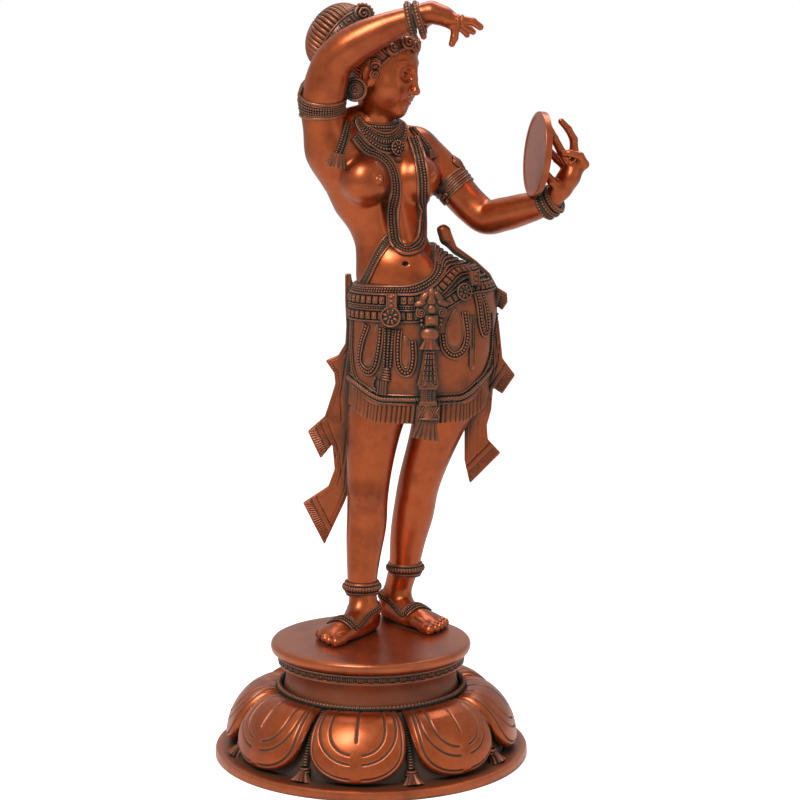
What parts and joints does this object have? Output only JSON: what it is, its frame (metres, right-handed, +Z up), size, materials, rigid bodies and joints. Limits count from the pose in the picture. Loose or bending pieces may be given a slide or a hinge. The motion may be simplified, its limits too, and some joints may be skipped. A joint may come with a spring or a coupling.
{
  "type": "statue",
  "caption": "Cast brass statue of a standing woman holding up a round hand mirror, on a plinth over a lotus base.",
  "frame": {"origin": "centre of the lotus base's underside, on the floor", "axes": "+Z up; -Y is the statue's front; +X is the viewer's right seen from the front"},
  "size_m": [0.3382, 0.288, 0.6853],
  "materials": {
    "figure_brass": "copper-red antique patina, smooth and hand rubbed",
    "ornament_brass": "copper-red antique patina, dark in the recesses",
    "base_brass": "copper-red antique patina, smooth",
    "hair_brass": "copper-red antique patina, chased",
    "cloth_brass": "copper-red antique patina, chased",
    "steel_fixing": "zinc plated"
  },
  "bodies": {
    "root": {"lotus_base": "base_brass", "lotus_petals": "base_brass", "petal_tassels": "ornament_brass", "lower_bead_ring": "ornament_brass", "pedestal_drum": "base_brass", "rosette_band": "ornament_brass", "plinth": "base_brass", "foot_pegs": "figure_brass", "right_foot": "figure_brass", "left_foot": "figure_brass", "right_leg": "figure_brass", "left_leg": "figure_brass", "trunk": "figure_brass", "head": "figure_brass", "hair_cap": "hair_brass", "forehead_curls": "hair_brass", "hair_bun": "hair_brass", "bun_band": "ornament_brass", "right_earring": "ornament_brass", "left_earring": "ornament_brass", "right_arm": "figure_brass", "left_arm": "figure_brass", "right_hand": "figure_brass", "left_hand": "figure_brass", "mirror": "figure_brass", "choker": "ornament_brass", "collar_necklace": "ornament_brass", "pendant": "ornament_brass", "long_chain": "ornament_brass", "waist_strap": "ornament_brass", "shoulder_tassels": "ornament_brass", "right_armlet": "ornament_brass", "left_armlet": "ornament_brass", "right_bangles": "ornament_brass", "left_bangles": "ornament_brass", "skirt": "cloth_brass", "girdle": "ornament_brass", "girdle_clasp": "ornament_brass", "girdle_rosettes": "ornament_brass", "skirt_swags": "ornament_brass", "front_tassel": "ornament_brass", "hem_cord": "ornament_brass", "skirt_frill": "cloth_brass", "right_sash": "cloth_brass", "left_sash": "cloth_brass", "right_anklet": "ornament_brass", "left_anklet": "ornament_brass", "right_foot_chain": "ornament_brass", "left_foot_chain": "ornament_brass", "fixing_stud": "steel_fixing", "fixing_washer": "steel_fixing", "fixing_nut": "steel_fixing"}
  },
  "joints": []
}
